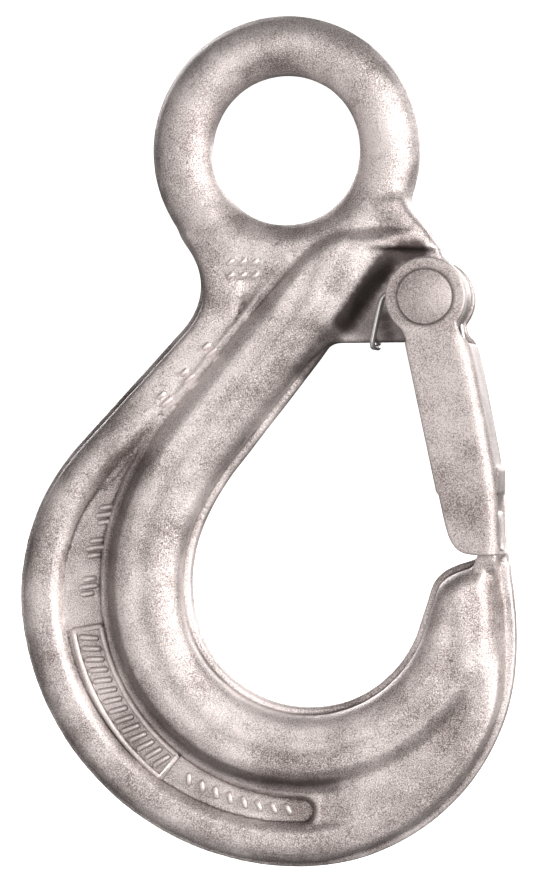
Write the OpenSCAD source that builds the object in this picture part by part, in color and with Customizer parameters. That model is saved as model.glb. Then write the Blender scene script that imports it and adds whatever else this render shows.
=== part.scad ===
// Forged eye hook with a spring-loaded latch.
// Origin: centre of the eye. +Z towards the top of the eye, +X towards the hook tip,
// Y through the thickness. Millimetres. The hook is symmetric about the plane y = 0.

/* [Eye] */
// Diameter of the cylindrical land inside the eye
eye_bore_d = 25.2; // [24.6:0.1:25.6]
// Diameter of the round bar that forms the eye
eye_bar_d = 10.1; // [9.9:0.1:10.6]
// Width of the land along the eye axis
eye_land = 3.1; // [2.8:0.1:3.4]

/* [Hook body] */
// Diameter of the load seat in the bowl
bowl_d = 39.6; // [38.6:0.2:40.6]
// Diameter of the round bar that carries the load
rib_d = 15.6; // [15:0.2:16]
// Thickness of the raised rim along the back
rim_t = 11; // [10.4:0.2:11.6]
// Width of the raised rim
rim_w = 6.2; // [5.8:0.2:6.8]
// Corner radius of the rim
rim_r = 4.2; // [3.6:0.2:4.6]
// Thickness of the recessed web between bar and rim
web_t = 8.6; // [8.4:0.1:9]
// Height of the raised marks above the web
mark_h = 0.5; // [0.3:0.1:0.7]

/* [Lug and tip] */
// Thickness of the latch lug
lug_t = 8; // [7.6:0.1:8.2]
// Radius of the rounded end of the lug
lug_r = 6.5; // [6.2:0.1:6.7]
// Width of the tongue that stands between the latch cheeks
tongue_w = 11.6; // [10:0.2:12]

/* [Latch] */
// Outer width of the latch channel
latch_w = 18.6; // [18.4:0.1:19]
// Thickness of the latch sheet
sheet = 1.9; // [1.7:0.1:2]
// Radius of the latch ears
ear_r = 6.7; // [6.4:0.1:6.9]

/* [Rivet and spring] */
// Diameter of the rivet shank
rivet_d = 5.6; // [5.4:0.1:5.8]
// Diameter of the domed rivet head
head_d = 9.5; // [9:0.1:10]
// Height of the domed rivet head
head_h = 2.2; // [1.8:0.1:2.6]
// Radial clearance between rivet and latch ears
ear_clear = 0.06; // [0.04:0.01:0.09]
// Spring wire diameter
wire_d = 0.9; // [0.8:0.05:0.95]
// Whole turns in each spring coil
coil_whole = 2; // [1:1:2]

/* [Hidden] */
$fn = 64;
bore_r = eye_bore_d / 2;
bar_r = eye_bar_d / 2;
eye_c = bore_r + sqrt(bar_r * bar_r - eye_land * eye_land / 4);
pivot = [24.4, -25];
coil_r = rivet_d / 2 + 0.7;

// Inner profile of the hook: bowl, two easing arcs, then a straight shank. The angles
// are where one arc hands over to the next.
rib_r = rib_d / 2;
bowl_r = bowl_d / 2;
bowl_c = [3.8, -73.9];
ease_r = [25.3, 41.7];
ease_a = [191.1, 157, 142.1];
tip_a = -6;
shank = 36.4;
joint_gap = 0.3;
joint_step = 0.06;

// Outer profile: neck, straight back, then five arcs round to the tip.
neck_c = [-26.3, -22];
neck_r = 12;
back_a = 137.5;
outer_r = [54, 37.3, 47.05, 36.7, 62];
back_len = 25.5;
outer_a = [137.5, 141.5, 189.5, 272, 356, 364.5];
rim_h = rim_t / 2;
web_h = web_t / 2;

// A point at radius r and angle a from c, in the x-z plane.
function on(c, r, a) = [c[0] + r * cos(a), c[1] + r * sin(a)];

function pick(list, i) = list[max(0, min(len(list) - 1, i))];

// A solid through rings that all have the same number of points.
module loft(rings) {
    n = len(rings[0]);
    m = len(rings);
    polyhedron(
        points = [for (r = rings, p = r) p],
        faces = concat(
            [[for (i = [n - 1 : -1 : 0]) i]],
            [[for (i = [0 : n - 1]) (m - 1) * n + i]],
            [for (k = [0 : m - 2], i = [0 : n - 1])
                [k * n + i, (k + 1) * n + (i + 1) % n, (k + 1) * n + i]],
            [for (k = [0 : m - 2], i = [0 : n - 1])
                [k * n + i, k * n + (i + 1) % n, (k + 1) * n + (i + 1) % n]]),
        convexity = 8);
}

// Centres of tangent arcs, each worked out from the one before it.
ease_c1 = on(bowl_c, bowl_r - ease_r[0], ease_a[0]);
ease_c2 = on(ease_c1, ease_r[0] - ease_r[1], ease_a[1]);
back_p = on(neck_c, neck_r, back_a - 180);
back_q = back_p - back_len * [cos(47.5), sin(47.5)];
outer_c = [for (i = 0, c = back_q - outer_r[0] * [cos(back_a), sin(back_a)];
                i < 5;
                c = i < 4 ? on(c, outer_r[i] - outer_r[i + 1], outer_a[i + 1]) : c,
                i = i + 1) c];

// Sweep the 2-D section about c, from angle a0 to a1, at a mean radius r. Each end stops
// a joint gap short, so that neighbours meet inside the ball or plug between them.
module arc(c, r, a0, a1) {
    g = joint_gap / r * 180 / PI;
    translate([c[0], 0, c[1]]) rotate([90, 0, 0]) rotate([0, 0, a0 + g])
        rotate_extrude(angle = a1 - a0 - 2 * g, $fn = 120) children();
}

// Sweep the 2-D section from p for a length in direction a, with the same gaps.
module run(p, a, length) {
    translate([p[0], 0, p[1]]) rotate([0, 90 - a, 0]) translate([0, 0, joint_gap])
        linear_extrude(length - 2 * joint_gap) children();
}

// The round bar: tip, bowl, easing arcs and shank, with a ball at each end.
module rib() {
    r0 = bowl_r + rib_r;
    r1 = ease_r[0] + rib_r;
    r2 = ease_r[1] + rib_r;
    arc(bowl_c, r0, ease_a[0], 360 + tip_a) translate([r0, 0]) circle(r = rib_r);
    arc(ease_c1, r1, ease_a[1], ease_a[0]) translate([r1, 0]) circle(r = rib_r);
    arc(ease_c2, r2, ease_a[2], ease_a[1]) translate([r2, 0]) circle(r = rib_r);
    top = on(ease_c2, r2, ease_a[2]);
    run(top, ease_a[2] - 90, shank) circle(r = rib_r);
    for (q = [on(top, shank, ease_a[2] - 90), on(bowl_c, r0, tip_a)])
        translate([q[0], 0, q[1]]) sphere(r = rib_r - joint_step);
    plug(top, ease_a[2] - 90) circle(r = rib_r - joint_step);
    plug(on(ease_c1, r1, ease_a[1]), ease_a[1] - 90) circle(r = rib_r - joint_step);
    plug(on(bowl_c, r0, ease_a[0]), ease_a[0] - 90) circle(r = rib_r - joint_step);
}

// A short straight piece that joins two sweeps at p, in direction a.
module plug(p, a) {
    translate([p[0], 0, p[1]]) rotate([0, 90 - a, 0])
        linear_extrude(5 * joint_gap, center = true) children();
}

// Section of the rim, with its outer edge at x = 0 and the metal towards -x. The plugs
// that join its arcs are smaller by e.
module rim_section(e = 0) {
    for (s = [-1, 1]) translate([-rim_r, s * (rim_h - rim_r)]) circle(r = rim_r - e);
    translate([e - rim_w, e - rim_h]) square([rim_w - rim_r - e, rim_t - 2 * e]);
    translate([e - rim_w, rim_r - rim_h]) square([rim_w - 2 * e, rim_t - 2 * rim_r]);
}

module rim() {
    arc(neck_c, neck_r, back_a - 180, 44) translate([neck_r, 0]) mirror([1, 0]) rim_section();
    run(back_q, 47.5, back_len) mirror([1, 0]) rim_section();
    for (i = [0 : 4])
        arc(outer_c[i], outer_r[i], outer_a[i], outer_a[i + 1])
            translate([outer_r[i], 0]) rim_section();
    for (p = [back_p, back_q]) plug(p, 47.5) mirror([1, 0]) rim_section(joint_step);
    for (i = [1 : 4])
        plug(on(outer_c[i], outer_r[i], outer_a[i]), outer_a[i] - 90)
            mirror([1, 0]) rim_section(joint_step);
}

// Outline points: the outer profile set in by g, and the inner profile set out by g.
function outer_points(g) = concat(
    [for (a = [40 : -5 : -40]) on(neck_c, neck_r + g, a)],
    [for (i = [0 : 3], k = [0 : 8])
        on(outer_c[i], outer_r[i] - g, outer_a[i] + (outer_a[i + 1] - outer_a[i]) * k / 9)]);
function inner_points(g) = concat(
    [for (a = [350 : -6 : 194]) on(bowl_c, bowl_r + g, a)],
    [for (a = [189 : -5 : 159]) on(ease_c1, ease_r[0] + g, a)],
    [for (a = [157 : -5 : 142]) on(ease_c2, ease_r[1] + g, a)],
    [on(on(ease_c2, ease_r[1] + g, ease_a[2]), shank + 2, ease_a[2] - 90)]);

// Web plate between bar and rim.
module plate() {
    rotate([90, 0, 0]) linear_extrude(web_t, center = true)
        polygon(concat(outer_points(0.8 * rim_w), inner_points(rib_r)));
}

// The plain pad between bar and rim, from the end of the recess round to the tip.
module pad() {
    a0 = outer_a[3];
    a1 = outer_a[4];
    rotate([90, 0, 0]) linear_extrude(rim_t - 0.6, center = true) polygon(concat(
        [for (a = [50 : -25 : -50]) on([3.2, -111.2], 3.4, a)],
        [for (k = [0.4 : 1 : 8.5])
            on(outer_c[3], outer_r[3] - 0.8 * rim_w, a0 + (a1 - a0) * k / 9)],
        [for (a = [350 : -6 : 279]) on(bowl_c, bowl_r + rib_r, a)]));
}

// The shoulder between the eye and the lug, with a ledge above the latch ears.
module shoulder() {
    rotate([90, 0, 0]) linear_extrude(2 * rib_r - 2.4, center = true)
        polygon([[5, -15], [12, -13.5], [17, -11.4], [19.6, -10.6], [25.2, -16.5],
                 [14.4, -16.6], [9, -27], [3, -26]]);
}

module eye() {
    rotate([90, 0, 0]) rotate_extrude($fn = 96) translate([eye_c, 0]) circle(r = bar_r);
}

// Latch lug: flank tangent to the round end, flat underside.
module lug() {
    rotate([90, 0, 0]) linear_extrude(lug_t, center = true) {
        translate(pivot) circle(r = lug_r);
        polygon([[3, -16], [18, -8], on(pivot, lug_r, 37.2), pivot,
                 on(pivot, lug_r, -80), [20, -32.2], [7.6, -32.2], [2, -36]]);
    }
}

// Tongue: rises from the tip between the latch cheeks, with a sloping inner face.
module tongue() {
    rotate([90, 0, 0]) linear_extrude(tongue_w, center = true)
        polygon([[31.6, -72], [32.5, -68.6], [35.45, -61.1], [35.75, -60.5], [36.1, -60.4],
                 [36.5, -62.6], [37.2, -67.7], [37.5, -72]]);
}

// Generic raised marks on the web: a short bar, a ring and three pips. They carry no text.
module marks() {
    for (s = [-1, 1]) {
        translate([0, s * (web_h - 0.5), 0]) rotate([90, 0, 0])
            linear_extrude(2 * mark_h + 1, center = true) {
                for (a = [206, 214, 222]) translate(on(bowl_c, 37, a)) circle(r = 1.3);
                for (a = [232, 244]) translate(on(bowl_c, 38, a)) rotate(a - 90)
                    square([5.2, 2.2], center = true);
                translate([-7.6, -24.6]) square([3.4, 2], center = true);
            }
    }
}

module hook_body() color([0.66, 0.63, 0.62]) {
    difference() {
        union() {
            plate();
            pad();
            rim();
            rib();
            eye();
            shoulder();
            lug();
            tongue();
            marks();
        }
        rotate([90, 0, 0]) cylinder(r = bore_r, h = 30, center = true, $fn = 96);
        translate([pivot[0], 0, pivot[1]]) rotate([90, 0, 0])
            cylinder(r = rivet_d / 2, h = 30, center = true);
    }
}

// Latch sheet seen from the side: ears above, cheeks below.
module cheek_outline() {
    translate(pivot) circle(r = ear_r);
    polygon([on(pivot, ear_r, 200), on(pivot, ear_r, 215), [20.9, -31.4], [21.3, -32.6],
             [27.9, -63.6], [28.4, -65.2], [29.4, -66.6], [30.9, -67.4], [33, -67.7],
             [36.6, -67.9], [36.9, -67.4], [36.9, -64], [36.6, -57.6], [32.2, -33.6],
             [31.9, -32.9], [31.2, -32.4], [30.4, -31.7], on(pivot, ear_r, -35), pivot]);
}

// Outer web of the latch, with the lip that rests inside the tongue.
module web_outline() {
    polygon([[31.6, -32.5], [32.1, -33.2], [36.45, -57.0], [36.45, -57.8],
             [33.65, -64.9], [31.9, -64.2], [34.5, -57.6], [30.1, -33.4], [30.3, -32.9],
             [30.9, -32.5]]);
}

module latch() color([0.70, 0.67, 0.66]) {
    difference() {
        union() {
            for (s = [-1, 1])
                translate([0, s * (latch_w - sheet) / 2, 0]) rotate([90, 0, 0])
                    linear_extrude(sheet, center = true) cheek_outline();
            rotate([90, 0, 0]) linear_extrude(latch_w - 0.4, center = true) web_outline();
        }
        translate([pivot[0], 0, pivot[1]]) rotate([90, 0, 0])
            cylinder(r = rivet_d / 2 + ear_clear, h = 40, center = true);
    }
}

// Domed head standing on the plane y = 0, towards -y.
module head(d, h) {
    big = (d * d / 4 + h * h) / (2 * h);
    rotate([90, 0, 0]) rotate_extrude() intersection() {
        translate([0, h - big]) circle(r = big, $fn = 120);
        square([d / 2, h]);
    }
}

module latch_rivet() color([0.72, 0.70, 0.69]) {
    gap = latch_w / 2 + 0.12;
    translate([pivot[0], 0, pivot[1]]) {
        rotate([90, 0, 0]) cylinder(r = rivet_d / 2, h = 2 * gap + 0.2, center = true);
        translate([0, -gap, 0]) head(head_d, head_h);
        translate([0, gap, 0]) mirror([0, 1, 0]) head(head_d - 0.5, head_h - 0.4);
    }
}

// Spring: a bridge under the lug, up each face of the lug, round each coil, and down
// inside the web of the latch. Points of one half, front side, as [x, y, z].
wr = wire_d / 2;
face_y = lug_t / 2 + 0.1 + wr;
leg_dir = 10.4;
coil_a = 116.7;
sweep = coil_a - leg_dir + 360 * coil_whole;
coil_end = face_y + (wire_d + 0.05) * sweep / 360;
coil_pts = [for (k = [0 : 60])
    let (q = on(pivot, coil_r, coil_a - sweep * k / 60))
    [q[0], -(face_y + (coil_end - face_y) * k / 60), q[1]]];
leg_start = on(pivot, coil_r, leg_dir);
half_path = concat(
    [[15.1, 0, -33.2], [15.1, -1.8, -33.2]],
    [for (a = [270 : 22.5 : 360]) [15.1, 0.9 - face_y - 0.9 * cos(a), -32.3 + 0.9 * sin(a)]],
    [[15.5, -face_y, -30], [16.4, -face_y, -25.6], [16.8, -face_y, -24.8],
     [17.4, -face_y, -24.35], [19.8, -face_y, -23.25]],
    coil_pts,
    [for (t = [4, 8, 12, 16]) [leg_start[0] + t * sin(leg_dir), -coil_end,
                              leg_start[1] - t * cos(leg_dir)]]);
spring_path = concat(
    [for (i = [len(half_path) - 1 : -1 : 1])
        [half_path[i][0], -half_path[i][1], half_path[i][2]]],
    half_path);

function unit(v) = v / norm(v);
function heading(p, i) = unit(pick(p, i + 1) - pick(p, i - 1));
// Carry the section's first direction along the path without twist.
function frames(p, i, u) = i == len(p) ? [] :
    let (t = heading(p, i), v = unit(u - t * (u * t)))
    concat([[v, cross(t, v)]], frames(p, i + 1, v));

module wire(p, r, sides) {
    f = frames(p, 0, unit([0.3, 1, 0.2]));
    loft([for (i = [0 : len(p) - 1])
        [for (k = [0 : sides - 1])
            p[i] + r * (f[i][0] * cos(360 * k / sides) + f[i][1] * sin(360 * k / sides))]]);
}

module latch_spring() color([0.62, 0.62, 0.64]) wire(spring_path, wr, 12);

hook_body();
latch();
latch_rivet();
latch_spring();
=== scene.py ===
"""Looks of the forged eye hook with latch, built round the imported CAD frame."""
import math
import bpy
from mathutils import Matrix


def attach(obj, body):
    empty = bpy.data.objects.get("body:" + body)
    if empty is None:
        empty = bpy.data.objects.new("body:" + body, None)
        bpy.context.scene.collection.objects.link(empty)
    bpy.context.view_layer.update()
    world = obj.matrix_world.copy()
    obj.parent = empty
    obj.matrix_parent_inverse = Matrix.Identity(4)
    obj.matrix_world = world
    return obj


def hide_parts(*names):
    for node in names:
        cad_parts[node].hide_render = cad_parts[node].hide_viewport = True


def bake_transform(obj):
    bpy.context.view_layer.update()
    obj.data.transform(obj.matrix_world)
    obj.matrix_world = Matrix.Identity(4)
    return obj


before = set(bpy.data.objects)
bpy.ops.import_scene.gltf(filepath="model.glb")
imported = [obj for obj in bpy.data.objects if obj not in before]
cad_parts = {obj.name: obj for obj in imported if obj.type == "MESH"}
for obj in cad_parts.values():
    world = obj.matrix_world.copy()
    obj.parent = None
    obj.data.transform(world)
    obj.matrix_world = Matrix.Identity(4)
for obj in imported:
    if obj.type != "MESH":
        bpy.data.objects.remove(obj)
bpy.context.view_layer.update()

from types import SimpleNamespace

import bpy
import numpy as np
from mathutils import Vector

MM = 0.001
PIVOT = (24.4, -25.0)
BOWL_C, BOWL_R = (3.8, -73.9), 19.8
FINE = 0.495    # cell of the forging's mesh, mm
FINE_LATCH = 0.3
EYE_R = 12.6
LUG_H, EAR_IN, EAR_OUT = 4.0, 7.4, 9.3
RIVET_R, COIL_R, WIRE_R = 2.8, 3.5, 0.45
LAND, OUTER_LAND = 1.25, 1.0             # widths of the trimmed flash, mm
VIEW_HEIGHT = 148.6                      # height of the picture at the hook, mm


# ---------------------------------------------------------------- profiles

def on(c, r, a):
    a = math.radians(a)
    return (c[0] + r * math.cos(a), c[1] + r * math.sin(a))


def arc(c, r, a0, a1, step=0.35):
    n = max(2, int(abs(math.radians(a1 - a0)) * r / step))
    return [on(c, r, a0 + (a1 - a0) * i / n) for i in range(n + 1)]


def line(p, q, step=0.35):
    n = max(2, int(math.dist(p, q) / step))
    return [(p[0] + (q[0] - p[0]) * i / n, p[1] + (q[1] - p[1]) * i / n) for i in range(n + 1)]


def chaikin(points, times=3):
    """A smooth open curve near a coarse one, keeping its ends."""
    p = np.array(points, float)
    for _ in range(times):
        q = np.empty((2 * len(p) - 2, 2))
        q[0::2] = 0.75 * p[:-1] + 0.25 * p[1:]
        q[1::2] = 0.25 * p[:-1] + 0.75 * p[1:]
        p = np.vstack([p[:1], q, p[-1:]])
    return p


def resample(points, step=0.35):
    p = np.array(points, float)
    s = np.concatenate([[0], np.cumsum(np.linalg.norm(np.diff(p, axis=0), axis=1))])
    t = np.linspace(0, s[-1], max(2, int(s[-1] / step)))
    return np.stack([np.interp(t, s, p[:, 0]), np.interp(t, s, p[:, 1])], 1)


EASE_C1 = on(BOWL_C, BOWL_R - 25.3, 191.1)
EASE_C2 = on(EASE_C1, 25.3 - 41.7, 157)
SHANK_FOOT = on(EASE_C2, 41.7, 142.1)

NECK_C = (-26.3, -22.0)
BACK_P = on(NECK_C, 12, -42.5)
BACK_Q = (BACK_P[0] - 25.5 * math.cos(math.radians(47.5)),
          BACK_P[1] - 25.5 * math.sin(math.radians(47.5)))
OUT_R = [54, 37.3, 47.05, 36.7, 62]
OUT_A = [137.5, 141.5, 189.5, 272, 356, 367.9]
OUT_C = [on(BACK_Q, -54, 137.5)]
for k in range(4):
    OUT_C.append(on(OUT_C[k], OUT_R[k] - OUT_R[k + 1], OUT_A[k + 1]))


def inner_chain():
    """Edge of the bowl opening, from under the eye down the shank to the tip's shoulder."""
    top = chaikin([(15.6, -14.0), (14.4, -18.5), (11.6, -25.4), (7.6, -32.8), (3.0, -38.75),
                   (0.0, -42.6)], 3)
    p = resample(np.vstack([top, [SHANK_FOOT]]))
    tip = chaikin([on(BOWL_C, BOWL_R, -20), on(BOWL_C, BOWL_R, -13), (24.1, -75.4),
                   (24.9, -72.6), (26.6, -70.7), (28.9, -69.6), (31.2, -68.9),
                   (33.4, -68.3)], 3)
    return np.vstack([p[:-1], arc(EASE_C2, 41.7, 142.1, 157)[:-1],
                      arc(EASE_C1, 25.3, 157, 191.1)[:-1],
                      arc(BOWL_C, BOWL_R, 191.1, 340)[:-1], resample(tip)])


def outer_chain():
    """Back of the hook, from under the eye round the bottom and up to the tip."""
    p = [arc(NECK_C, 12, 60, -42.5)[:-1], line(BACK_P, BACK_Q)[:-1]]
    for c, r, a, b in zip(OUT_C, OUT_R, OUT_A, OUT_A[1:]):
        p.append(arc(c, r, a, b)[:-1])
    end = on(OUT_C[4], OUT_R[4], OUT_A[5])
    p.append(line(end, (end[0] - 0.52, end[1] + 3.7)))
    return np.vstack(p)


# ---------------------------------------------------------------- distance fields

def side_field(poly, gx, gz, left):
    """Signed distance from an open chain, and the length along it of the nearest point.
    Positive on the left-hand side of travel if left, else on the right."""
    s = np.concatenate([[0], np.cumsum(np.linalg.norm(np.diff(poly, axis=0), axis=1))])
    a, b = poly[:-1], poly[1:]
    best = np.full(gx.shape, 1e9, np.float32)
    sign = np.ones(gx.shape, np.float32)
    along = np.zeros(gx.shape, np.float32)
    for i in range(len(a)):
        e = b[i] - a[i]
        n = float(np.hypot(*e))
        px, pz = gx - a[i, 0], gz - a[i, 1]
        t = np.clip((px * e[0] + pz * e[1]) / (n * n), 0, 1)
        d = np.hypot(px - t * e[0], pz - t * e[1])
        hit = d < best - 1e-7
        best[hit] = d[hit]
        cross = e[0] * pz - e[1] * px
        sign[hit] = np.where(cross[hit] >= 0, 1, -1)
        along[hit] = (s[i] + t * n)[hit]
    return best * sign * (1 if left else -1), along


def polygon_field(points, gx, gz):
    """Signed distance to a closed polygon, negative inside."""
    p = np.array(points, float)
    q = np.roll(p, -1, axis=0)
    best = np.full(gx.shape, 1e9)
    inside = np.zeros(gx.shape, bool)
    for (ax, az), (bx, bz) in zip(p, q):
        ex, ez = bx - ax, bz - az
        px, pz = gx - ax, gz - az
        t = np.clip((px * ex + pz * ez) / (ex * ex + ez * ez), 0, 1)
        best = np.minimum(best, np.hypot(px - t * ex, pz - t * ez))
        if az != bz:
            inside ^= ((gz < az) != (gz < bz)) & (gx < ax + (gz - az) * ex / ez)
    return np.where(inside, -best, best).astype(np.float32)


def smin(a, b, k):
    h = np.clip(0.5 + 0.5 * (b - a) / k, 0, 1)
    return b + (a - b) * h - k * h * (1 - h)


def smax(a, b, k):
    return -smin(-a, -b, k)


def box2(u, v, r):
    """Rounded corner of two signed distances, radius r."""
    u, v = u + r, v + r
    return np.minimum(np.maximum(u, v), 0) + np.hypot(np.maximum(u, 0), np.maximum(v, 0)) - r


def slant(d, y, top, lean, r):
    """Like box2, with a wall that leans inwards as it rises from the web."""
    wall = (d + lean * np.maximum(y - 4.2, 0)) / np.hypot(1, lean)
    return box2(wall, y - top, r)


def smooth01(x, a, b):
    t = np.clip((x - a) / (b - a), 0, 1)
    return t * t * (3 - 2 * t)


def surface(f, lo, step, name):
    """A closed quad mesh of the zero level of f, by surface nets, with its points drawn
    onto the level along the gradient."""
    inside = f < 0
    nx, ny, nz = f.shape
    corners = [(i, j, k) for i in (0, 1) for j in (0, 1) for k in (0, 1)]
    view = lambda a, c: a[c[0]:nx - 1 + c[0], c[1]:ny - 1 + c[1], c[2]:nz - 1 + c[2]]
    count = sum(view(inside, c).astype(np.int8) for c in corners)
    cells = (count > 0) & (count < 8)
    index = np.full(cells.shape, -1, np.int64)
    at = np.argwhere(cells)
    index[cells] = np.arange(len(at))
    total = np.zeros((len(at), 3))
    hits = np.zeros(len(at))
    for a in corners:
        for axis in range(3):
            if a[axis]:
                continue
            b = tuple(v + (1 if i == axis else 0) for i, v in enumerate(a))
            fa = f[tuple((at + a).T)]
            fb = f[tuple((at + b).T)]
            cut = (fa < 0) != (fb < 0)
            t = np.where(cut, fa / np.where(cut, fa - fb, 1), 0)
            p = np.array(a)[None, :] + t[:, None] * np.eye(3)[axis]
            total[cut] += p[cut]
            hits[cut] += 1
    verts = at + total / hits[:, None]
    faces = []
    for axis in range(3):
        u, v = [(1, 2), (2, 0), (0, 1)][axis]
        lo_i = [slice(1, n - 1) for n in f.shape]
        hi_i = list(lo_i)
        lo_i[axis], hi_i[axis] = slice(0, f.shape[axis] - 1), slice(1, f.shape[axis])
        a, b = inside[tuple(lo_i)], inside[tuple(hi_i)]
        for mask, flip in ((a & ~b, False), (~a & b, True)):
            g = np.argwhere(mask)
            g = g + np.array([0 if i == axis else 1 for i in range(3)])
            du, dv = np.eye(3, dtype=int)[u], np.eye(3, dtype=int)[v]
            quad = [index[tuple((g - o).T)] for o in (du + dv, dv, 0 * du, du)]
            q = np.stack(quad, 1)
            faces.append(q[:, ::-1] if flip else q)
    faces = np.vstack(faces)

    def sample(p):
        i = np.clip(np.floor(p).astype(int), 0, np.array(f.shape) - 2)
        w = p - i
        out = 0
        for c in corners:
            k = np.prod([w[:, d] if c[d] else 1 - w[:, d] for d in range(3)], axis=0)
            out = out + k * f[tuple((i + c).T)]
        return out

    for _ in range(4):
        e = 0.6
        g = np.stack([sample(verts + e * d) - sample(verts - e * d) for d in np.eye(3)], 1)
        g /= 2 * e
        n2 = np.maximum((g ** 2).sum(1), 0.02)
        verts = verts - np.clip(sample(verts) / n2, -0.6, 0.6)[:, None] * g * 0.8
    verts = (verts * step + lo) * MM
    used = np.unique(faces)
    remap = np.full(len(verts), -1)
    remap[used] = np.arange(len(used))
    return mesh_object(name, verts[used], remap[faces])


def mesh_object(name, verts, faces):
    me = bpy.data.meshes.new(name)
    me.from_pydata([tuple(v) for v in np.asarray(verts)], [],
                   [tuple(int(i) for i in q) for q in faces])
    me.validate()
    me.update()
    me.polygons.foreach_set("use_smooth", [True] * len(me.polygons))
    ob = bpy.data.objects.new(name, me)
    bpy.context.scene.collection.objects.link(ob)
    return ob


def grid(lo, hi, step):
    axes = [np.arange(a, b + step, step, dtype=np.float32) for a, b in zip(lo, hi)]
    # keep y = 0 between two layers, so that both faces are cut alike
    n = len(axes[1]) // 2
    axes[1] = (np.arange(-n, n, dtype=np.float32) + 0.5) * step
    gx, gz = np.meshgrid(axes[0], axes[2], indexing="ij")
    lo = np.array([axes[0][0], axes[1][0], axes[2][0]])
    return axes, gx, gz, lo


# ---------------------------------------------------------------- forged hook body

def deep(a):
    """A field of the x-z plane, the same at every depth."""
    return a[:, None, :]


def forging_plane():
    """The forging's grid, with its distances from the profiles, the eye and the rivet."""
    axes, gx, gz, lo = grid((-47.5, -9.6, -123), (41.5, 9.6, 25), FINE)
    p = SimpleNamespace(axes=axes, gx=gx, gz=gz, lo=lo)
    p.y = np.abs(axes[1])[None, :, None]
    p.di, p.si = side_field(inner_chain(), gx, gz, left=False)
    p.do, _ = side_field(outer_chain(), gx, gz, left=True)
    p.from_eye = np.hypot(gx, gz)
    p.from_pivot = np.hypot(gx - PIVOT[0], gz - PIVOT[1])
    p.flank = (gx - 24.3) * 0.796 + (gz + 14.5) * 0.605
    p.low = gz < -60
    # 1 where the web has no sunk panel
    p.plain = np.where(p.low & (gx > 5), smooth01(gx, 5.6, 13), 0)
    p.plain = np.where(gz > -60, np.where(gx > 15, 1, 0), p.plain)
    # faint streaks drawn along the bar by the forging
    p.ripple = 0.14 * np.cos(1.43 * (p.di - 5.9) + 0.5 * np.sin(p.si / 9.0))
    return p


def inner_land(p):
    """Land that trimming leaves along the opening."""
    land = np.maximum(box2(deep(-p.di), p.y - 1.7, 0.3), deep(p.di - 5))
    return np.maximum(land, deep(p.gz + 31))


def outer_land(p):
    """Land that trimming leaves along the back."""
    return np.maximum(box2(deep(-p.do), p.y - 1.8, 0.35), deep(p.do - 3))


def bar_field(p):
    """Load-carrying bar with a crowned top, steep sides and its land."""
    foot = 13.9 - 0.9 * np.where(p.low, smooth01(p.gx, -14, 2), smooth01(p.gz, -42, -16))
    crown = 0.032 * (p.di - 7.4) ** 2
    top = 7.9 - np.minimum(crown, 1.6) + p.ripple
    bar = np.maximum(box2(deep(LAND - p.di), p.y - deep(top), 3.1),
                     slant(deep(p.di - foot), p.y, deep(top), 0.45, 1.5))
    bar = np.maximum(bar, deep(p.gz + 27))
    bar = smin(bar, inner_land(p), 0.35)
    return np.maximum(bar, deep(-p.do))


def back_field(p):
    """Web with its sunk panel, the raised rim and the rim's own land."""
    panel = smin(smin(p.do - 7.3, p.di - 14.9, 1.6), 5.4 - p.gx, 2.6)
    panel = np.where(p.gz > -60, np.minimum(p.do - 7.3, p.di - 14.9), panel)
    web = 4.45 + p.plain * 1.35 - 1.05 * smooth01(panel, -0.25, 0.35)
    web = web + 0.42 * np.exp(-((panel + 0.62) / 0.42) ** 2) * smooth01(-p.gz, 52, 60)
    seam = smooth01(-p.gz, 16, 19) * (1 - smooth01(-p.gz, 52, 60)) * (p.gx < 8)
    ridge = (p.gx - 2.93) * 0.771 - (p.gz + 16.2) * 0.637
    web = web + 0.65 * np.exp(-(ridge / 0.45) ** 2) * seam
    strip = OUTER_LAND + 0.5 * p.plain
    slab = box2(deep(strip - p.do), p.y - deep(web), 1.4)
    slab = np.maximum(slab, deep(3 - p.di))
    rim_top = 5.75 + 0.1 * p.plain - 1.35 * smooth01(p.gz, -52, -36) * (p.gx < 10)
    rim = np.maximum(box2(deep(strip - p.do), p.y - deep(rim_top), 3.2),
                     box2(deep(p.do - 7.0), p.y - deep(rim_top), 1.6))
    back = smin(smin(slab, rim, 0.7), outer_land(p), 0.4)
    return np.maximum(back, deep(-p.di))


def nose_field(p):
    """The tip: one crowned section that leans to the outside."""
    top = 7.5 - 0.55 * smooth01(p.gz, -80, -70) + 0.12 * np.cos(1.5 * (p.do - 4.4))
    top = top - 0.035 * (np.maximum(8.3 - p.do, 0) ** 2 + np.maximum(5 - p.di, 0) ** 2)
    nose = np.maximum(box2(deep(LAND - p.di), p.y - deep(top), 3.3),
                      box2(deep(1.6 - p.do), p.y - deep(top), 5.0))
    nose = smin(smin(nose, inner_land(p), 0.35), outer_land(p), 0.4)
    return np.maximum(nose, deep(np.maximum(-p.di, -p.do)))


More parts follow.
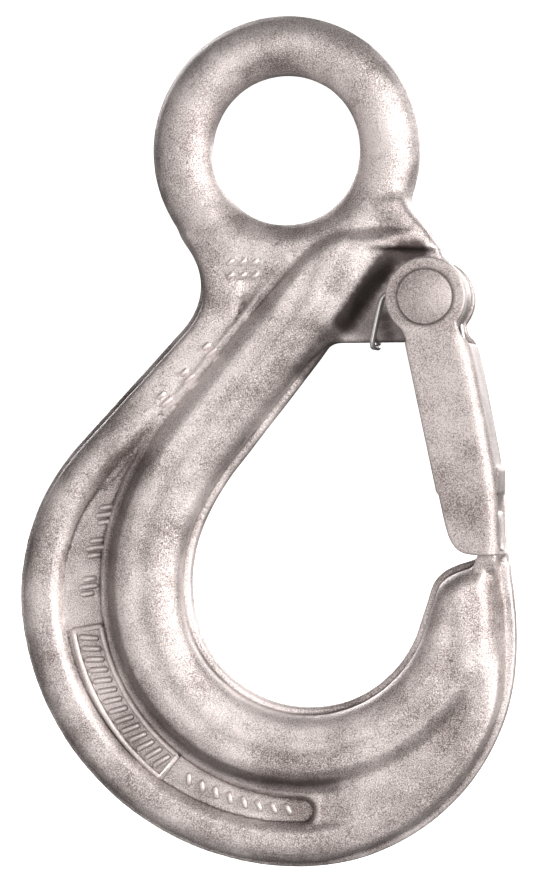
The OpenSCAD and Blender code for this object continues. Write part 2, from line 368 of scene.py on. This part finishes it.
def neck_field(p):
    """The bar's upper end, which bends right along a ledge to the flank of the lug."""
    neck = polygon_field(chaikin([
        (-9.8, -32.8), (-2.0, -23.4), (3.6, -16.8), (7.6, -14.2), (11.8, -13.1),
        (18.2, -12.8), (20.2, -16.7), (19.2, -18.9), (16.5, -22.4), (13.4, -26.3),
        (10.5, -30.2), (8.9, -31.9), (6.3, -32.9), (4.4, -34.9), (-1.6, -42.6),
        (-14, -38.0)], 1), p.gx, p.gz)
    spine = (p.gx + 8.61) * -0.789 + (p.gz + 53.63) * 0.614 - 7.4
    top = 7.95 - np.minimum(0.032 * spine ** 2, 0.9) - 0.5 * smooth01(p.gx, 10, 18)
    top = top + p.ripple * smooth01(-p.gz, 14, 24)
    lean = 0.92 - 0.44 * smooth01(spine, -1.5, 1.5)
    neck = slant(deep(neck), p.y, deep(top), deep(lean), 1.1)
    ledge = np.maximum(polygon_field([(5, -17), (8.2, -14.0), (11.8, -13.1), (18.2, -12.7),
                                      (24, -12.6), (31, -21), (12, -24)], p.gx, p.gz), p.flank)
    ledge = slant(deep(ledge), p.y, deep(7.5 - 2.3 * smooth01(p.gx, 15, 25)), 0.66, 0.9)
    ledge = smax(ledge, deep(-p.gz - 16.8), 0.5)
    return smin(neck, ledge, 0.15)


def eye_field(p):
    """Round bar of the eye with a trimmed land outside. Its hole is cut later."""
    flash = box2(deep(p.from_eye - 22.55), p.y - 1.2, 0.3)
    flash = np.maximum(flash, deep(19 - p.from_eye))
    return smin(np.hypot(deep(p.from_eye - 17.42), p.y) - 5.05, flash, 0.4)


def gusset_field(p):
    """Flat shoulder between the eye and the body."""
    gusset = polygon_field([(-16.5, -14), (-12, -26), (2, -24), (12, -20), (25.5, -16.6),
                            (18.6, -7.4), (10, -12), (0, -15.5), (-10, -13.5)], p.gx, p.gz)
    return box2(deep(np.maximum(gusset, p.flank)), p.y - 4.5, 1.8)


def wing_field(p):
    """Flank that joins the eye to the lug."""
    wing = np.maximum(np.maximum(p.flank, -p.flank - 4.4),
                      np.maximum(15.6 - p.gx, np.maximum(-p.gz - 17.6, p.gz + 8.2)))
    return box2(deep(wing), p.y - deep(5.6 - 1.4 * smooth01(-p.gz, 12, 18)), 1.8)


def lug_field(p):
    """Latch lug with its round end."""
    lug = polygon_field([(1, -17), (19, -10), on(PIVOT, 6.5, 37.2), PIVOT,
                         on(PIVOT, 6.5, -76), (20, -32.3), (7.8, -32.4), (0, -38)], p.gx, p.gz)
    return box2(deep(np.minimum(lug, p.from_pivot - 6.5)), p.y - LUG_H, 0.5)


def tongue_field(p):
    """Tongue between the latch cheeks, which sinks into the nose."""
    tongue = polygon_field([(30.8, -73), (32.6, -68.2), (35.35, -61.3), (35.65, -60.6),
                            (36.05, -60.5), (36.3, -62.4), (36.2, -66), (35.4, -73)],
                           p.gx, p.gz)
    top = 5.8 - 2.4 * smooth01(-p.gz, 68.5, 74)
    return box2(deep(tongue), p.y - deep(top), 0.4)


def keel_field(p):
    """Thin land up the outside of the tongue."""
    keel = polygon_field([(33, -74), (35.3, -62.6), (36.2, -61.6), (36.45, -62.9),
                          (37.15, -68.1), (37.8, -73), (38.1, -76)], p.gx, p.gz)
    return box2(deep(keel), p.y - 1.8, 0.35)


def unevenness(p):
    """Slow waves of a hammered surface, away from the lug."""
    x, y, z = p.axes[0][:, None, None], p.axes[1][None, :, None], p.axes[2][None, None, :]
    wave = (np.sin(0.41 * x + 0.9 * np.sin(0.23 * z)) * np.sin(0.37 * z + 1.3 + 0.25 * y)
            + 0.6 * np.sin(0.93 * x - 0.55 * z + 0.3 * y) * np.sin(0.71 * z + 0.5)
            + 0.35 * np.sin(1.9 * x + 1.1 * np.sin(0.9 * z)) * np.sin(1.7 * z + 0.8 * y))
    return 0.022 * wave * deep(smooth01(p.from_pivot, 10, 16))


def forging_field():
    """Signed distance of the whole forging, and the grid's first corner."""
    p = forging_plane()
    body = smin(bar_field(p), back_field(p), 0.8)
    tip = deep(np.where(p.gx > 15, smooth01(p.gz, -97, -80), 0))
    body = body * (1 - tip) + nose_field(p) * tip
    # the body stops inside the ring of the eye
    body = smax(body, deep(np.maximum(p.gz + 15.5, 14.2 - p.from_eye)), 1.6)
    f = smin(body, gusset_field(p), 1.6)
    f = smin(f, eye_field(p), 2.6)
    f = smin(f, wing_field(p), 1.4)
    soft = 0.05 + 0.75 * smooth01(p.gz, -23, -18)
    f = smin(f, neck_field(p), deep(soft))
    f = smin(f, lug_field(p), 0.6)
    f = smin(f, tongue_field(p), 0.9)
    f = smin(f, keel_field(p), 0.4)
    # clean holes: the eye's land and the rivet bore
    f = np.maximum(f, deep(EYE_R - p.from_eye))
    f = np.maximum(f, deep(RIVET_R + 0.02 - p.from_pivot))
    return (f + unevenness(p)).astype(np.float32), p.lo


def marks():
    """Generic raised bars and pips where a forging carries its marks. They say nothing."""
    verts, faces = [], []

    def pad(path, r, base, rise, closed=False):
        p = np.array(path, float)
        n, m = len(p), 8
        for side in (-1, 1):
            start = len(verts)
            for i in range(n):
                a = p[(i - 1) % n] if closed or i else p[i]
                b = p[(i + 1) % n] if closed or i < n - 1 else p[i]
                t = (b - a) / max(np.hypot(*(b - a)), 1e-6)
                k = np.array([-t[1], t[0]])
                end = not closed and i in (0, n - 1)
                rr = r * (0.35 if end else 1)
                for j in range(m):
                    w = 2 * math.pi * j / m
                    q = p[i] + k * rr * math.cos(w)
                    h = base + (rise if math.sin(w) >= 0 else 0.5) * math.sin(w) * \
                        (0.5 if end else 1)
                    verts.append((q[0] * MM, side * h * MM, q[1] * MM))
            for i in range(n if closed else n - 1):
                for j in range(m):
                    q = [start + i * m + j, start + i * m + (j + 1) % m,
                         start + (i + 1) % n * m + (j + 1) % m, start + (i + 1) % n * m + j]
                    faces.append(q[::-1] if side > 0 else q)
            if not closed:
                a = [start + j for j in range(m)]
                b = [start + (n - 1) * m + j for j in range(m)]
                faces.append(a if side > 0 else a[::-1])
                faces.append(b[::-1] if side > 0 else b)

    def local(c, a, points):
        a = math.radians(a)
        return [(c[0] + x * math.cos(a) - z * math.sin(a),
                 c[1] + x * math.sin(a) + z * math.cos(a)) for x, z in points]

    def bar(c, a, length, r=0.55, base=4.5):
        pad(local(c, a, [(-length / 2, 0), (-length / 2 + 0.3, 0), (0, 0),
                         (length / 2 - 0.3, 0), (length / 2, 0)]), r, base, 0.8)

    for i in range(6):
        bar((-8.8 + 2.1 * (i % 3), -18.9 - 2.3 * (i // 3)), 45, 1.7, base=4.75)
    for c in ((-19.6, -42.3), (-15.7, -38.4), (-12.0, -34.1)):
        for k in (-1, 0, 1):
            bar((c[0] + 0.95 * k, c[1] - 1.05 * k), 42, 2.6 - 0.8 * abs(k), base=4.5)
    for c in ((-30.3, -61.3), (-32.0, -66.9), (-33.2, -73.4)):
        for k in (-1, 0, 1):
            bar((c[0] + 0.2 * k, c[1] + 1.25 * k), 8, 3.4 - 0.9 * abs(k), base=3.4)
    pad(arc(BOWL_C, 40.2, 190, 232) + arc(BOWL_C, 35.4, 232, 190), 0.55, 3.4, 0.8,
        closed=True)
    for i in range(14):
        a = 192.5 + 2.85 * i
        bar(on(BOWL_C, 37.8, a), a - 17, 3.4, base=3.4)
    for i in range(8):
        a = 238 + 3.9 * i
        bar(on(BOWL_C, 37.5 - 0.1 * i, a), a + 35, 2.2, base=3.4)
    return verts, faces


def hook_body():
    f, lo = forging_field()
    ob = surface(f, lo, FINE, "hook_forging")
    verts, faces = marks()
    extra = mesh_object("marks", verts, faces)
    bpy.ops.object.select_all(action="DESELECT")
    for o in (extra, ob):
        o.select_set(True)
    bpy.context.view_layer.objects.active = ob
    bpy.ops.object.join()
    return ob


# ---------------------------------------------------------------- latch

def latch():
    axes, gx, gz, lo = grid((16.5, -10, -69), (38, 10, -17.4), FINE_LATCH)
    y = np.abs(axes[1])[None, :, None]
    ear = np.hypot(gx - PIVOT[0], gz - PIVOT[1])
    cheek = polygon_field(list(chaikin([
        on(PIVOT, 6.2, 195), on(PIVOT, 6.55, 212), (20.6, -30.6), (21.1, -31.9), (21.5, -33.8),
        (27.2, -60.8), (27.9, -63.7), (28.6, -65.6), (29.9, -67.2), (31.8, -67.8),
        (36.3, -67.9), (36.85, -67.6), (36.85, -66), (36.6, -58), (35.6, -52.0),
        (32.4, -34.6), (31.9, -33.0), (31.1, -32.0), (30.2, -31.3), (29.8, -30.4),
        on(PIVOT, 6.4, -38)], 2)) + [PIVOT], gx, gz)
    outline = np.minimum(cheek, ear - 6.7)
    edge = chaikin([(33.5, -16), (33.5, -27), (30.9, -31.4), (32.1, -33.6), (35.7, -52),
                    (36.55, -58), (36.9, -70)], 3)
    w, _ = side_field(resample(edge), gx, gz, left=False)
    corner = box2((-w)[:, None, :], y - EAR_OUT, 2.5)
    inner = box2((1.9 - w)[:, None, :], y - EAR_IN, 0.8)
    shell = np.maximum(corner, -inner)
    plate = box2(outline[:, None, :], np.abs(y - 8.35) - 0.95, 0.25)
    plate = np.maximum(plate, corner)
    span = smax(gz + 32.5, -57.6 - gz, 1.0)
    web = box2(np.maximum(span, outline - 0.3)[:, None, :], shell, 0.3)
    lip_line = chaikin([(35.5, -54), (35.5, -57.15), (34.75, -59.94), (32.85, -64.64)], 2)
    d, _ = side_field(resample(lip_line, 0.2), gx, gz, left=True)
    lip = box2((np.abs(d) - 0.95)[:, None, :], y - 6.4, 0.4)
    f = smin(np.minimum(plate, web), lip, 0.4)
    f = np.maximum(f, (RIVET_R + 0.06 - ear)[:, None, :])
    return surface(f.astype(np.float32), lo, FINE_LATCH, "latch_channel")


# ---------------------------------------------------------------- rivet and spring

def lathe(profile, name, segments=96):
    """Turn (radius, y) points about the rivet's axis."""
    n = len(profile)
    verts = [(PIVOT[0] * MM + r * MM * math.cos(2 * math.pi * k / segments), y * MM,
              PIVOT[1] * MM + r * MM * math.sin(2 * math.pi * k / segments))
             for k in range(segments) for r, y in profile[1:-1]]
    m = n - 2
    a, b = len(verts), len(verts) + 1
    verts += [(PIVOT[0] * MM, profile[0][1] * MM, PIVOT[1] * MM),
              (PIVOT[0] * MM, profile[-1][1] * MM, PIVOT[1] * MM)]
    faces = []
    for k in range(segments):
        j = (k + 1) % segments
        faces.append((a, j * m, k * m))
        faces.append((b, k * m + m - 1, j * m + m - 1))
        faces += [(k * m + i, j * m + i, j * m + i + 1, k * m + i + 1) for i in range(m - 1)]
    return mesh_object(name, verts, faces)


def dome(r, h, edge, y0, sign, n=18):
    """Half profile of a rivet head on the plane y0, from its crown to its foot."""
    big = ((r - 0.15) ** 2 + (h - edge) ** 2) / (2 * (h - edge))
    out = []
    for i in range(n):
        x = (r - 0.15) * (i / (n - 1)) ** 0.8
        out.append((x, y0 + sign * (edge + (h - edge) - big + math.sqrt(big * big - x * x))))
    for a in (30, 60, 90):
        out.append((r - 0.15 + 0.15 * math.sin(math.radians(a)),
                    y0 + sign * (edge - 0.15 + 0.15 * math.cos(math.radians(a)))))
    out += [(r, y0 + sign * 0.42), (r - 0.22, y0 + sign * 0.16), (r - 0.5, y0)]
    return out


def rivet():
    y0 = EAR_OUT + 0.12
    front = dome(4.55, 1.4, 0.8, -y0, -1)
    back = dome(4.5, 1.6, 0.75, y0, 1)
    shank = [(RIVET_R + 0.3, -y0), (RIVET_R, -y0 + 0.2), (RIVET_R, 0), (RIVET_R, y0 - 0.2),
             (RIVET_R + 0.3, y0)]
    return lathe(front + shank + back[::-1], "rivet_domed")


def wire(points, r, name, sides=14):
    p = np.array(points, float)
    t = np.gradient(p, axis=0)
    t /= np.linalg.norm(t, axis=1)[:, None]
    u = np.cross(t[0], (0.3, 0.2, 1.0))
    verts, faces = [], []
    for i in range(len(p)):
        u = u - t[i] * (u @ t[i])
        u /= np.linalg.norm(u)
        v = np.cross(t[i], u)
        for k in range(sides):
            a = 2 * math.pi * k / sides
            verts.append((p[i] + r * (u * math.cos(a) + v * math.sin(a))) * MM)
    n = len(p)
    for i in range(n - 1):
        for k in range(sides):
            j = (k + 1) % sides
            faces.append((i * sides + k, i * sides + j, (i + 1) * sides + j,
                          (i + 1) * sides + k))
    faces.append(tuple(range(sides))[::-1])
    faces.append(tuple((n - 1) * sides + k for k in range(sides)))
    return mesh_object(name, verts, faces)


def spring(side):
    face = LUG_H + 0.1 + WIRE_R
    a0, sweep = 116.7, 116.7 - 10.4 + 720
    end = face + 0.95 * sweep / 360
    path = [(15.1, 0, -33.2), (15.1, -1.2, -33.2), (15.1, -2.6, -33.2)]
    path += [(15.1, 0.9 - face - 0.9 * math.cos(math.radians(a)),
              -32.3 + 0.9 * math.sin(math.radians(a))) for a in range(270, 361, 15)]
    lead = chaikin([(15.1, -32.0), (15.5, -30), (16.4, -25.8), (16.9, -24.7), (18.4, -23.9),
                    on(PIVOT, COIL_R, 116.7)], 2)[:-1]
    path += [(x, -face, z) for x, z in lead]
    n = 150
    for k in range(n + 1):
        x, z = on(PIVOT, COIL_R, a0 - sweep * k / n)
        path.append((x, -(face + (end - face) * k / n), z))
    x, z = on(PIVOT, COIL_R, 10.4)
    c, s = math.cos(math.radians(10.4)), math.sin(math.radians(10.4))
    path += [(x + d * s, -end, z - d * c) for d in np.linspace(0.8, 16, 20)]
    path = np.array(path)
    path[:, 1] *= side
    ob = wire(path, WIRE_R, "spring_front" if side > 0 else "spring_back")
    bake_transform(ob)
    return ob


# ---------------------------------------------------------------- materials

# Tints of painted shade: the first for hollow creases, the second for the listed patches of
# shade
CREASE_SHADE_TINT, PATCH_SHADE_TINT = (0.10, 0.076, 0.070), (0.055, 0.040, 0.038)
# Patches of painted shade on the forging, dark where shadow falls in its hollows and grooves
FORGED_PAINTED_SHADE = (
    # painted shade in the hollow between the bar and the lug, under the ledge and down the
    # bar's wall
    dict(centres=[(22.4, -17.2), (20.6, -17.3), (18.6, -18.1)]
         + line((17.2, -19.6), (10.7, -28.7), 1.8),
         near=1.3, far=2.9, strength=0.93, crest=6.8),
    # painted shadow on the lug's face, and in the corner between the spring's leg and the ear
    dict(centres=[(14, -28.5), (16, -29.8), (18.5, -31)],
         near=2.2, far=5.0, strength=0.62, crest=5.0),
    dict(centres=[(17.0, -28.4), (17.3, -29.8), (17.8, -31.1)],
         near=0.3, far=1.8, strength=0.80, crest=5.0),
    # painted shade on the bar's inner wall below the lug
    dict(centres=line((9.6, -30.0), (3.6, -37.2), 1.8),
         near=0.8, far=2.6, strength=0.68, crest=7.1),
    # painted shade in the groove along the bar's outer foot, round the bowl and up its easing
    # arc
    dict(centres=[BOWL_C], ring=32.8, near=0.8, far=1.9, strength=0.68, crest=7.0,
         window=(12, -125, -75)),
    dict(centres=[EASE_C1], ring=38.3, near=0.8, far=1.9, strength=0.62, crest=7.0,
         window=(-10, -79, -50)),
    # painted shade at the foot of each mark in the sunk panel
    dict(centres=[BOWL_C], ring=37.3, near=3.5, far=4.5, strength=0.9, crest=3.7,
         window=(8, -125, -54), base=3.47),
)
# painted shade: a dark ring on the latch's ear just outside the rim of the rivet head
LATCH_PAINTED_SHADE = (dict(centres=[PIVOT], near=4.6, far=5.3, strength=0.7, crest=20),)


def node(tree, kind, **inputs):
    n = tree.nodes.new(kind)
    for k, v in inputs.items():
        n.inputs[k.replace("_", " ")].default_value = v
    return n


def math_node(t, kind, *values):
    """A math node. Each input is a socket or a number."""
    n = t.nodes.new("ShaderNodeMath")
    n.operation = kind
    for i, v in enumerate(values):
        if isinstance(v, (int, float)):
            n.inputs[i].default_value = v
        else:
            t.links.new(v, n.inputs[i])
    return n.outputs[0]


def ramp_node(t, value, a, b, lo, hi, smooth=True):
    """Value a becomes lo and value b becomes hi, and nothing goes past them."""
    n = t.nodes.new("ShaderNodeMapRange")
    n.interpolation_type = "SMOOTHSTEP" if smooth else "LINEAR"
    for i, v in ((1, a), (2, b), (3, lo), (4, hi)):
        n.inputs[i].default_value = v
    t.links.new(value, n.inputs[0])
    return n.outputs[0]


def tint_node(t, amount, colour, tint):
    """A colour drawn towards a fixed tint."""
    n = t.nodes.new("ShaderNodeMix")
    n.data_type = "RGBA"
    t.links.new(amount, n.inputs[0])
    t.links.new(colour, n.inputs[6])
    n.inputs[7].default_value = (*tint, 1)
    return n.outputs[2]


def window_node(t, amount, split, x_max, z_min, z_max, fade=4):
    """Fades an amount out past three sides of a window, in mm."""
    for axis, edge, inside in ((0, x_max, -fade), (2, z_min, fade), (2, z_max, -fade)):
        lo, hi = sorted((edge, edge + inside))
        ends = (0.0, 1.0) if inside > 0 else (1.0, 0.0)
        side = ramp_node(t, split.outputs[axis], lo * MM, hi * MM, *ends)
        amount = math_node(t, "MULTIPLY", amount, side)
    return amount


def painted_shade(t, coord, colour, centres, near, far, strength, crest, ring=0.0, window=None,
            base=0.0):
    """Painted shade: darkening round points of the x-z plane, or along rings of radius ring
    round them. It is full up to near and gone at far, and lies between the heights base and
    crest from the mid-plane. All lengths are in mm."""
    split = t.nodes.new("ShaderNodeSeparateXYZ")
    t.links.new(coord.outputs["Object"], split.inputs[0])
    flat = t.nodes.new("ShaderNodeCombineXYZ")
    t.links.new(split.outputs[0], flat.inputs[0])
    t.links.new(split.outputs[2], flat.inputs[2])
    nearest = None
    for x, z in centres:
        d = t.nodes.new("ShaderNodeVectorMath")
        d.operation = "DISTANCE"
        t.links.new(flat.outputs[0], d.inputs[0])
        d.inputs[1].default_value = (x * MM, 0, z * MM)
        away = math_node(t, "SUBTRACT", d.outputs["Value"], ring * MM)
        away = math_node(t, "ABSOLUTE", away)
        nearest = away if nearest is None else math_node(t, "MINIMUM", nearest, away)
    height = math_node(t, "ABSOLUTE", split.outputs[1])
    amount = math_node(t, "MULTIPLY",
                       ramp_node(t, nearest, near * MM, far * MM, strength, 0.0),
                       ramp_node(t, height, (crest - 0.5) * MM, (crest + 0.5) * MM, 1.0, 0.0))
    if base:
        rise = ramp_node(t, height, base * MM, (base + 0.1) * MM, 0.0, 1.0)
        amount = math_node(t, "MULTIPLY", amount, rise)
    if window:
        amount = window_node(t, amount, split, *window)
    return tint_node(t, amount, colour, PATCH_SHADE_TINT)


def steel(name, dark, light, rough, bump, grain=5000, metallic=0.75, shade_patches=()):
    """Shot-blasted steel: fine pits, soft cloudy tone, lighter colour on convex edges,
    and painted shade in hollow creases and in the listed patches.
    """
    m = bpy.data.materials.new(name)
    m.use_nodes = True
    t = m.node_tree
    link = t.links.new
    b = t.nodes["Principled BSDF"]
    b.inputs["Metallic"].default_value = metallic
    coord = t.nodes.new("ShaderNodeTexCoord")
    pits = node(t, "ShaderNodeTexNoise", Scale=grain, Detail=3.0, Roughness=0.7)
    cloud = node(t, "ShaderNodeTexNoise", Scale=90.0, Detail=5.0, Roughness=0.6)
    broad = node(t, "ShaderNodeTexNoise", Scale=34.0, Detail=2.0, Roughness=0.5)
    dents = node(t, "ShaderNodeTexVoronoi", Scale=grain * 0.33)
    for n in (pits, cloud, broad, dents):
        link(coord.outputs["Object"], n.inputs["Vector"])

    half = math_node(t, "MULTIPLY", cloud.outputs["Fac"], 0.38)
    tone = math_node(t, "MULTIPLY_ADD", pits.outputs["Fac"], 0.62, half)
    ramp = t.nodes.new("ShaderNodeValToRGB")
    for element, place, colour in zip(ramp.color_ramp.elements, (0.40, 0.575), (dark, light)):
        element.position = place
        element.color = (*colour, 1)
    link(tone, ramp.inputs["Fac"])

    edge = t.nodes.new("ShaderNodeNewGeometry").outputs["Pointiness"]
    # the colour is lighter on convex edges
    edge_lightening = ramp_node(t, edge, 0.50, 0.58, 0.0, 0.45, smooth=False)
    colour = tint_node(t, edge_lightening, ramp.outputs["Color"], [min(1, c * 1.12) for c in light])
    # painted shade: the colour darkens where the surface is hollow, in creases and at the feet
    # of raised parts
    crease_shade = ramp_node(t, edge, 0.435, 0.492, 0.62, 0.0)
    colour = tint_node(t, crease_shade, colour, CREASE_SHADE_TINT)
    # painted shade: each listed patch darkens the colour
    for shade_patch in shade_patches:
        colour = painted_shade(t, coord, colour, **shade_patch)
    link(colour, b.inputs["Base Color"])

    rr = ramp_node(t, cloud.outputs["Fac"], 0.3, 0.7, rough - 0.08, rough + 0.1, smooth=False)
    link(rr, b.inputs["Roughness"])
    relief = math_node(t, "MULTIPLY_ADD", dents.outputs["Distance"], 0.5, pits.outputs["Fac"])
    relief = math_node(t, "MULTIPLY_ADD", broad.outputs["Fac"], 0.7, relief)
    bm = node(t, "ShaderNodeBump", Strength=bump, Distance=0.00012)
    link(relief, bm.inputs["Height"])
    link(bm.outputs["Normal"], b.inputs["Normal"])
    return m


def dress(ob, material):
    ob.data.materials.clear()
    ob.data.materials.append(material)


def stage():
    """A pale floor that sweeps up all round into a closed studio cove."""
    z0, flat, r, wall, roof = -0.150, 1.05, 0.35, 1.5, 1.9
    prof = [(0.0, z0), (0.5, z0), (flat, z0)]
    prof += [(flat + r * math.sin(a), z0 + r - r * math.cos(a))
             for a in np.linspace(0.12, math.pi / 2, 12)]
    prof += [(flat + r, wall)]
    prof += [((flat + r) * math.cos(a), wall + (roof - wall) * math.sin(a))
             for a in np.linspace(0.2, math.pi / 2 - 0.01, 8)]
    n, turns = len(prof), 72
    angles = [2 * math.pi * k / turns for k in range(turns)]
    verts = [(x * math.cos(a), x * math.sin(a), z) for a in angles for x, z in prof]
    faces = [(k * n + i, (k + 1) % turns * n + i, (k + 1) % turns * n + i + 1, k * n + i + 1)
             for k in range(turns) for i in range(n - 1)]
    ob = mesh_object("floor_cove", verts, faces)
    m = bpy.data.materials.new("pale_floor")
    m.use_nodes = True
    b = m.node_tree.nodes["Principled BSDF"]
    b.inputs["Roughness"].default_value = 0.9
    b.inputs["Emission Strength"].default_value = 0.85
    t = m.node_tree
    c = t.nodes.new("ShaderNodeTexCoord")
    n1 = node(t, "ShaderNodeTexNoise", Scale=3.0, Detail=2.0)
    ramp = t.nodes.new("ShaderNodeValToRGB")
    ramp.color_ramp.elements[0].color = (0.93, 0.93, 0.93, 1)
    ramp.color_ramp.elements[1].color = (0.97, 0.97, 0.97, 1)
    t.links.new(c.outputs["Object"], n1.inputs["Vector"])
    t.links.new(n1.outputs["Fac"], ramp.inputs["Fac"])
    t.links.new(ramp.outputs["Color"], b.inputs["Base Color"])
    t.links.new(ramp.outputs["Color"], b.inputs["Emission Color"])
    ob.data.materials.append(m)
    ob.visible_diffuse = ob.visible_glossy = ob.visible_shadow = False


def lamp(name, at, aim, size, power, size_y=None, color=(1, 1, 1)):
    d = bpy.data.lights.new(name, "AREA")
    d.energy, d.size, d.color = power, size, color
    if size_y:
        d.shape, d.size_y = "RECTANGLE", size_y
    o = bpy.data.objects.new(name, d)
    o.location = at
    o.rotation_euler = (Vector(aim) - Vector(at)).to_track_quat("-Z", "Y").to_euler()
    bpy.context.scene.collection.objects.link(o)


def lights():
    aim = (0, 0, -0.05)
    lamp("front_soft", (0.12, -1.15, 0.12), aim, 0.8, 6.6, 0.8, (1.0, 0.985, 0.975))
    lamp("key_right", (0.92, -0.46, 0.12), aim, 0.28, 13.0, 0.40, (1.0, 0.985, 0.97))
    lamp("fill_left", (-0.90, -0.50, 0.0), aim, 0.40, 1.9, 0.5, (1.0, 0.97, 0.95))
    lamp("fill_low", (-0.50, -0.62, -0.75), aim, 0.5, 2.4, 0.5, (1.0, 0.975, 0.96))
    lamp("back_left", (-0.45, 1.0, 0.4), aim, 0.5, 6.5)
    lamp("back_right", (0.45, 1.0, 0.3), aim, 0.5, 5.0)
    w = bpy.data.worlds.new("studio")
    w.use_nodes = True
    w.node_tree.nodes["Background"].inputs["Color"].default_value = (1, 0.97, 0.96, 1)
    w.node_tree.nodes["Background"].inputs["Strength"].default_value = 0.07
    bpy.context.scene.world = w
    bpy.context.scene.view_settings.view_transform = "Standard"


def camera():
    target = Vector((-3.4 * MM, 0, -48.9 * MM))
    az, distance = math.radians(8), 0.75
    d = bpy.data.cameras.new("view")
    o = bpy.data.objects.new("view", d)
    o.location = target + distance * Vector((math.sin(az), -math.cos(az), 0))
    o.rotation_euler = (target - o.location).to_track_quat("-Z", "Y").to_euler()
    d.sensor_fit = "VERTICAL"
    d.sensor_height = 24
    d.lens = d.sensor_height * distance / (VIEW_HEIGHT * MM)
    bpy.context.scene.collection.objects.link(o)
    bpy.context.scene.camera = o


def build():
    forged = steel("forged_steel", (0.17, 0.130, 0.120), (0.88, 0.805, 0.79), 0.50, 0.6,
                   shade_patches=FORGED_PAINTED_SHADE)
    sheet = steel("latch_steel", (0.17, 0.133, 0.124), (0.66, 0.595, 0.58), 0.52, 0.5,
                  grain=5200, shade_patches=LATCH_PAINTED_SHADE)
    head = steel("rivet_steel", (0.18, 0.142, 0.133), (0.60, 0.54, 0.525), 0.48, 0.45,
                 grain=5200)
    drawn = steel("spring_wire", (0.40, 0.385, 0.38), (0.62, 0.61, 0.60), 0.35, 0.15,
                  grain=5200)
    for piece, rides, node_name, material, slot in (
            (hook_body(), "hook", "hook_body", forged, "forged_steel"),
            (latch(), "latch", "latch", sheet, "latch_steel"),
            (rivet(), "hook", "latch_rivet", head, "rivet_steel")):
        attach(piece, rides)
        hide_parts(node_name)
        dress(piece, material)
    for side in (1, -1):
        coil = spring(side)
        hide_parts("latch_spring")
        dress(coil, drawn)


build()
stage()
lights()
camera()
